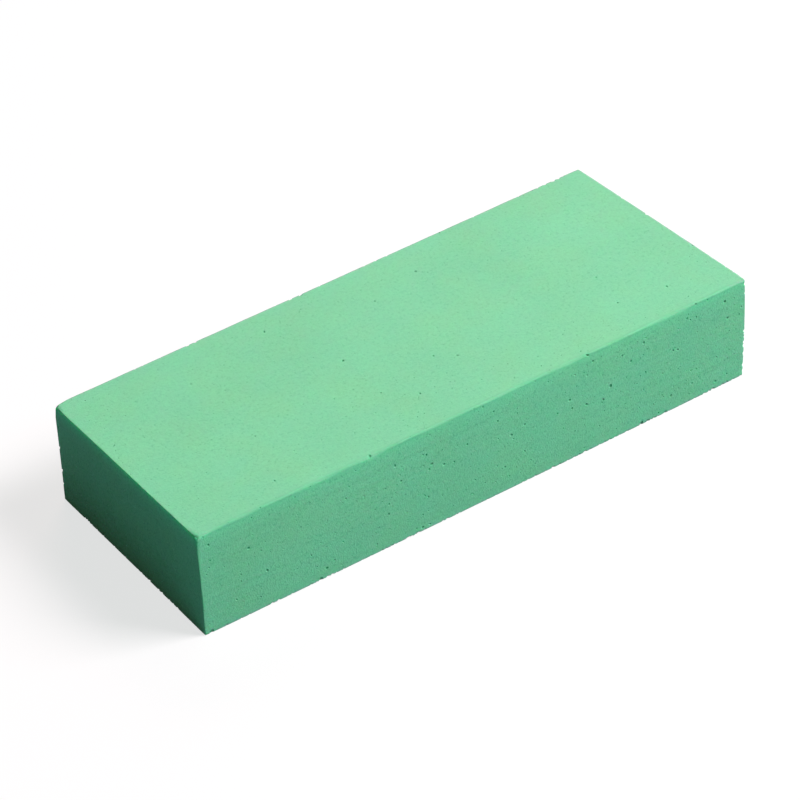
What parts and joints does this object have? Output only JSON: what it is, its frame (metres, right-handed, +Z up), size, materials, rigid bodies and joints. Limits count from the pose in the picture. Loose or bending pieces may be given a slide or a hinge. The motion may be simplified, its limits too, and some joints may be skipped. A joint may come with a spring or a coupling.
{
  "type": "floral foam brick",
  "caption": "Rectangular wire-cut block of stiff, brittle green floral foam with fine open pores and softly rubbed edges, for holding cut stems.",
  "frame": {"origin": "middle of the bottom face, which the block rests on", "axes": "+X along the length, +Y across the width, +Z up through the height"},
  "size_m": [0.17, 0.07, 0.03],
  "materials": {
    "phenolic_foam": "matte, open-cell, wire-cut, dry"
  },
  "bodies": {
    "root": {"foam_brick": "phenolic_foam"}
  },
  "joints": []
}
